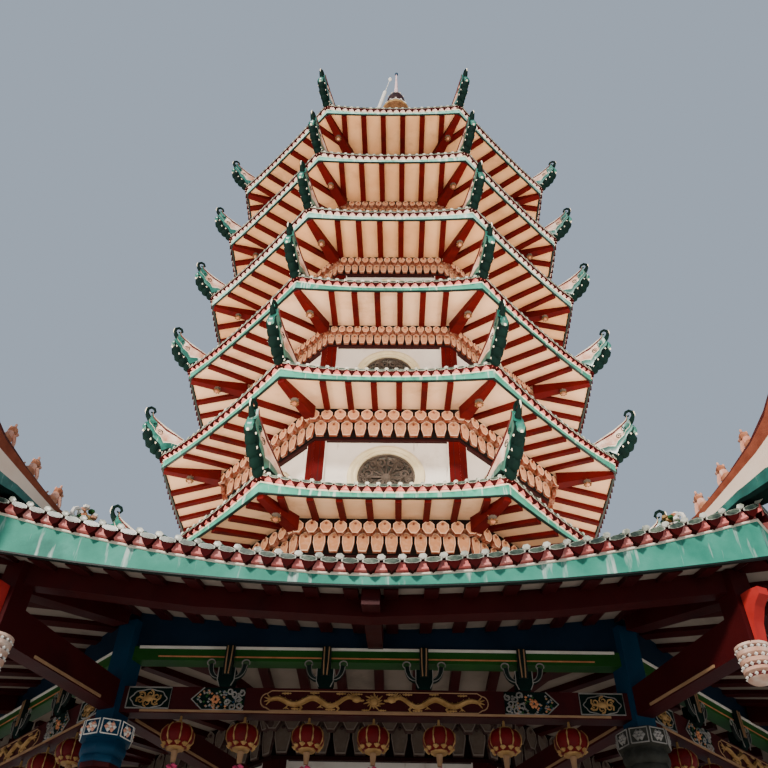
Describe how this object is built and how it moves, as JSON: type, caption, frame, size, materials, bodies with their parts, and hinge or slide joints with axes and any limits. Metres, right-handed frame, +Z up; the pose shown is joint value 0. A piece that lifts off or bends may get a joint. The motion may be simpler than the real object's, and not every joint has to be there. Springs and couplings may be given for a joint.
{
  "type": "pagoda",
  "caption": "Tall octagonal temple tower with tiled eaves over each storey, round windows and a pillared porch round its foot.",
  "frame": {"origin": "on the ground, at the tower's axis", "axes": "+Z up the tower, -Y towards the front side with the doorway and the steps, +X to the right of someone who faces that side"},
  "size_m": [22.7128, 22.7128, 39.1553],
  "materials": {
    "stone": "cut grey stone, dull",
    "white_plaster": "painted plaster, slightly dirty",
    "red_paint": "dark red oil paint, half gloss",
    "blue_paint": "dark blue oil paint, half gloss",
    "green_paint": "green oil paint, half gloss",
    "bracket_paint": "salmon limewash with pale outlines",
    "eave_paint": "blue-green paint with pale rain stains",
    "soffit_paint": "pale peach limewash",
    "glazed_tile": "green glaze, weathered",
    "terracotta": "unglazed brown-red clay",
    "finial_paint": "gold paint, worn",
    "gold_paint": "gold paint on carving",
    "lantern_cloth": "red cloth over ribs"
  },
  "bodies": {
    "root": {"plinth": "stone", "front_steps": "stone", "ground_walls": "white_plaster", "door_head": "white_plaster", "ground_brackets": "bracket_paint", "porch_column_1": "red_paint", "porch_column_2": "red_paint", "porch_column_3": "red_paint", "porch_column_4": "red_paint", "porch_column_5": "red_paint", "porch_column_6": "red_paint", "porch_column_7": "red_paint", "porch_column_8": "red_paint", "porch_lower_beams": "red_paint", "porch_upper_beams": "blue_paint", "porch_eave_frame": "red_paint", "porch_roof": "eave_paint", "porch_ridges": "glazed_tile", "storey_2_walls": "white_plaster", "storey_2_brackets": "bracket_paint", "storey_2_roof": "eave_paint", "storey_2_ridges": "glazed_tile", "storey_3_walls": "white_plaster", "storey_3_brackets": "bracket_paint", "storey_3_roof": "eave_paint", "storey_3_ridges": "glazed_tile", "storey_4_walls": "white_plaster", "storey_4_brackets": "bracket_paint", "storey_4_roof": "eave_paint", "storey_4_ridges": "glazed_tile", "storey_5_walls": "white_plaster", "storey_5_brackets": "bracket_paint", "storey_5_roof": "eave_paint", "storey_5_ridges": "glazed_tile", "storey_6_walls": "white_plaster", "storey_6_brackets": "bracket_paint", "storey_6_roof": "eave_paint", "storey_6_ridges": "glazed_tile", "storey_7_walls": "white_plaster", "storey_7_brackets": "bracket_paint", "storey_7_roof": "eave_paint", "storey_7_ridges": "glazed_tile", "finial": "finial_paint"}
  },
  "joints": []
}
